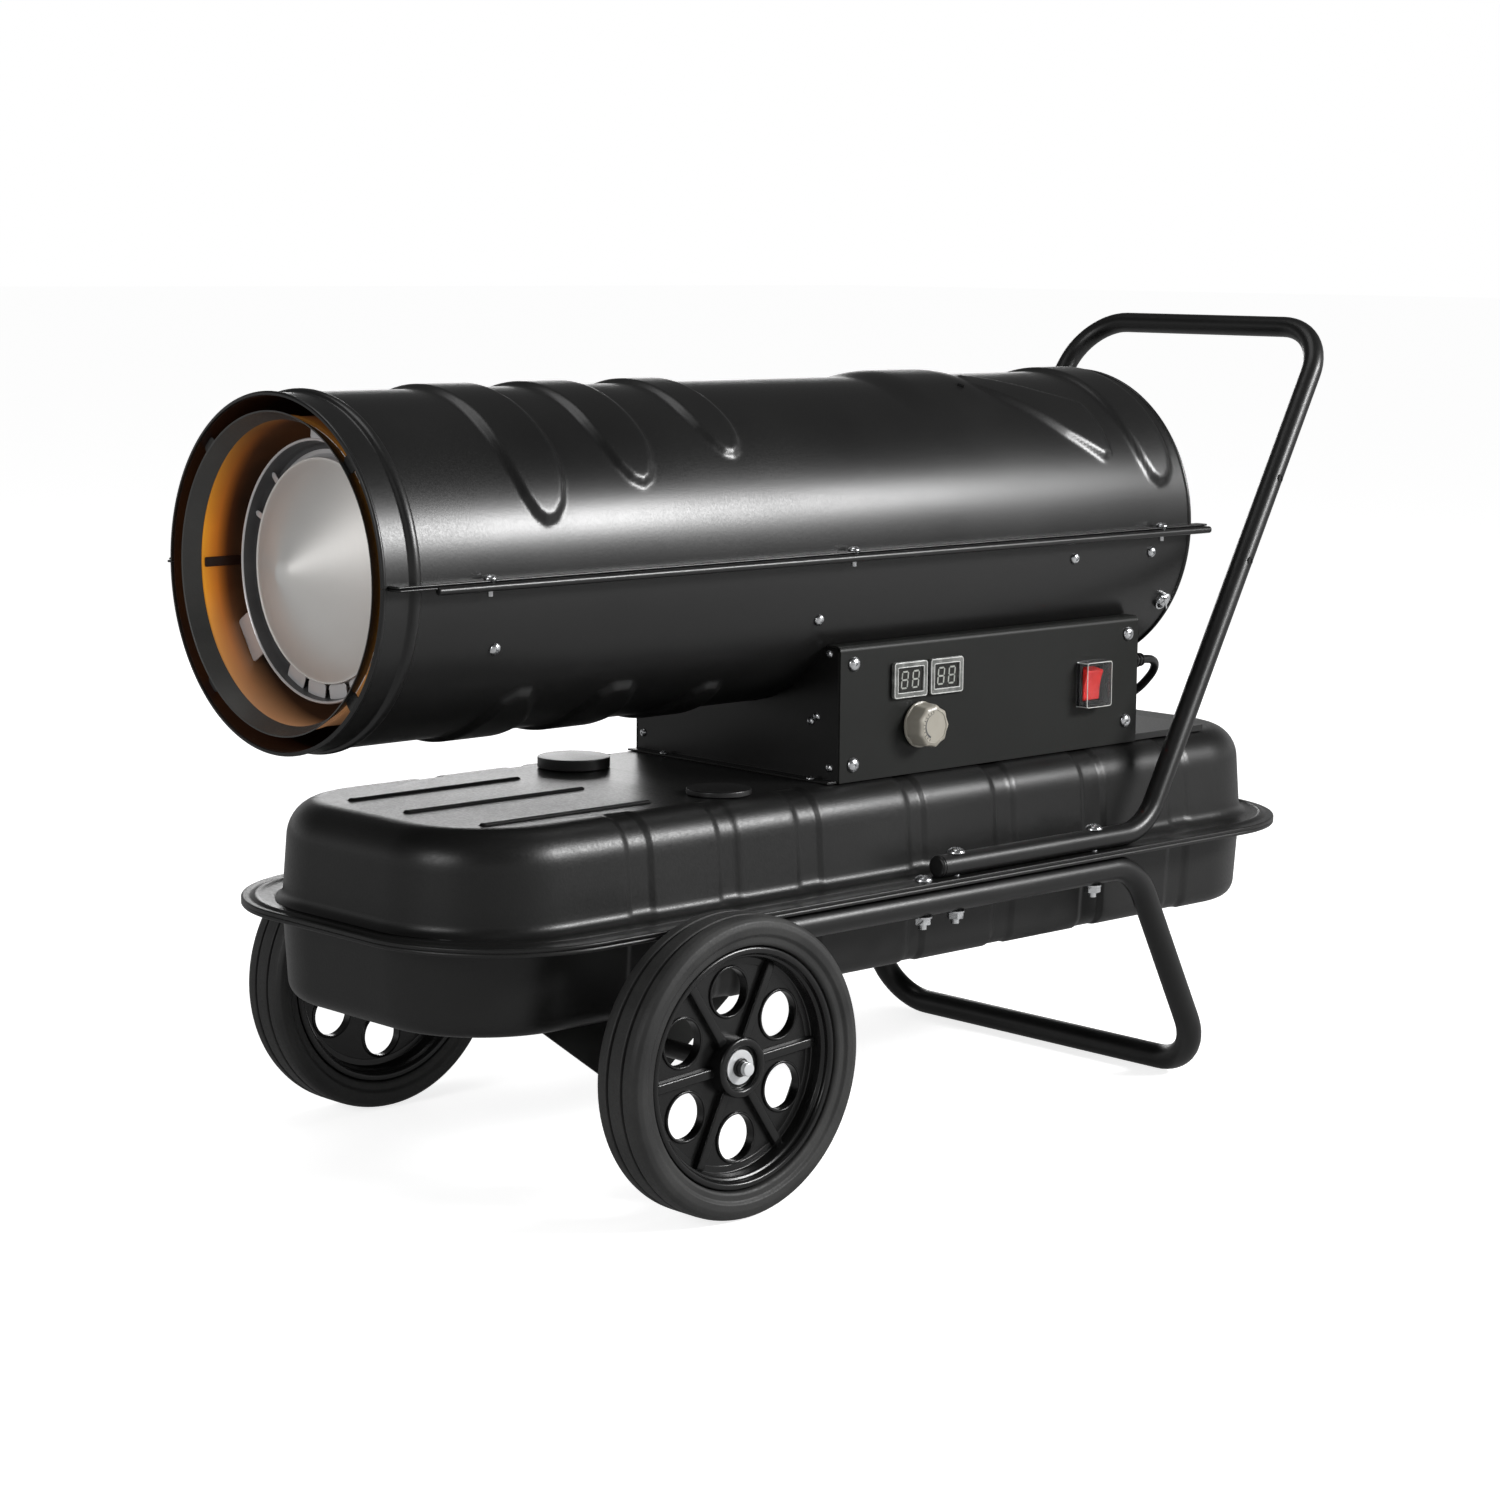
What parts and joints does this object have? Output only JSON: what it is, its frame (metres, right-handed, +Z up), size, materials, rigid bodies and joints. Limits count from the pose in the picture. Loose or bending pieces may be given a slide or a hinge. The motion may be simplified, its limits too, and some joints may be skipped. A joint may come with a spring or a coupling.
{
  "type": "forced air heater",
  "caption": "Portable forced air fuel heater: round barrel with fan and combustion chamber on a control housing and fuel tank, with wheels, resting leg and push handle.",
  "frame": {"origin": "middle of the footprint on the floor, under the heater", "axes": "+Z up, +Y from the hot air outlet to the push handle, +X to the side with the control panel"},
  "size_m": [0.422, 0.9246, 0.573],
  "materials": {
    "black_paint": "satin black powder coat on steel sheet",
    "dark_paint": "matt dark grey heat-resistant coat",
    "tube_paint": "gloss black coat on steel tube and wire",
    "heat_tinted_steel": "steel sheet with an orange heat tint",
    "stainless": "satin stainless sheet",
    "zinc": "bright zinc plate",
    "cast_metal": "cast or stamped, matt",
    "brass": "plain turned",
    "ceramic": "white glazed ceramic",
    "black_plastic": "moulded, light gloss",
    "rim_plastic": "gloss black moulded",
    "grey_plastic": "moulded warm grey",
    "red_plastic": "translucent red moulded",
    "clear_plastic": "clear soft cover",
    "circuit_board": "green board",
    "tyre": "matt black rubber",
    "cord_rubber": "black rubber, matt"
  },
  "bodies": {
    "heater": {"upper_shell": "black_paint", "lower_shell": "black_paint", "outlet_lip": "dark_paint", "heat_shield": "heat_tinted_steel", "combustion_chamber": "stainless", "chamber_ring": "stainless", "cone_deflector": "stainless", "burner_head": "cast_metal", "spark_plug": "ceramic", "photocell": "black_plastic", "fan_motor": "cast_metal", "motor_bracket": "dark_paint", "air_pump": "cast_metal", "fan_guard": "tube_paint", "air_hose": "cord_rubber", "fuel_hose": "cord_rubber", "base_plate": "black_paint", "control_panel": "black_paint", "left_cover": "black_paint", "front_plate": "black_paint", "rear_plate": "black_paint", "room_display": "black_plastic", "set_display": "black_plastic", "thermostat": "cast_metal", "switch_body": "black_plastic", "switch_cover": "clear_plastic", "control_board": "circuit_board", "ignition_transformer": "black_plastic", "fuel_filter": "brass", "tank_upper": "black_paint", "tank_lower": "black_paint", "fuel_gauge": "black_plastic", "handle": "tube_paint", "handle_plug_right": "black_plastic", "handle_plug_left": "black_plastic", "leg_frame": "tube_paint", "clamp_bolt_front_right": "zinc", "clamp_bolt_middle_right": "zinc", "clamp_bolt_rear_right": "zinc", "clamp_bolt_front_left": "zinc", "clamp_bolt_middle_left": "zinc", "clamp_bolt_rear_left": "zinc", "axle": "zinc", "axle_bracket": "dark_paint", "wheel_nut_right": "zinc", "wheel_nut_left": "zinc", "cord_gland": "cord_rubber", "cord_lead": "cord_rubber", "cord_coil": "cord_rubber", "cord_tail": "cord_rubber", "plug": "cord_rubber"},
    "fan_rotor": {"fan": "cast_metal", "motor_shaft": "zinc"},
    "wheel_right": {"tyre_right": "tyre", "rim_right": "rim_plastic"},
    "wheel_left": {"tyre_left": "tyre", "rim_left": "rim_plastic"},
    "knob": {"thermostat_knob": "grey_plastic"},
    "rocker": {"switch_rocker": "red_plastic"},
    "cap": {"fuel_cap": "black_plastic"}
  },
  "joints": [
    {"name": "fan_spin", "type": "hinge", "parent": "heater", "child": "fan_rotor", "pos_m": [0, 0.1575, 0.417], "axis": [0, 1, 0], "continuous": true},
    {"name": "wheel_right_spin", "type": "hinge", "parent": "heater", "child": "wheel_right", "pos_m": [0.191, -0.2425, 0.1], "axis": [1, 0, 0], "continuous": true},
    {"name": "wheel_left_spin", "type": "hinge", "parent": "heater", "child": "wheel_left", "pos_m": [-0.191, -0.2425, 0.1], "axis": [1, 0, 0], "continuous": true},
    {"name": "knob_turn", "type": "hinge", "parent": "heater", "child": "knob", "pos_m": [0.115, 0.0155, 0.29], "axis": [1, 0, 0], "range_deg": [-135, 135]},
    {"name": "rocker_tilt", "type": "hinge", "parent": "heater", "child": "rocker", "pos_m": [0.106, 0.1985, 0.304], "axis": [0, 1, 0], "range_deg": [-20, 0]},
    {"name": "fuel_cap_lift", "type": "slide", "parent": "heater", "child": "cap", "axis": [0, 0, 1], "range_m": [0, 0.04]}
  ]
}
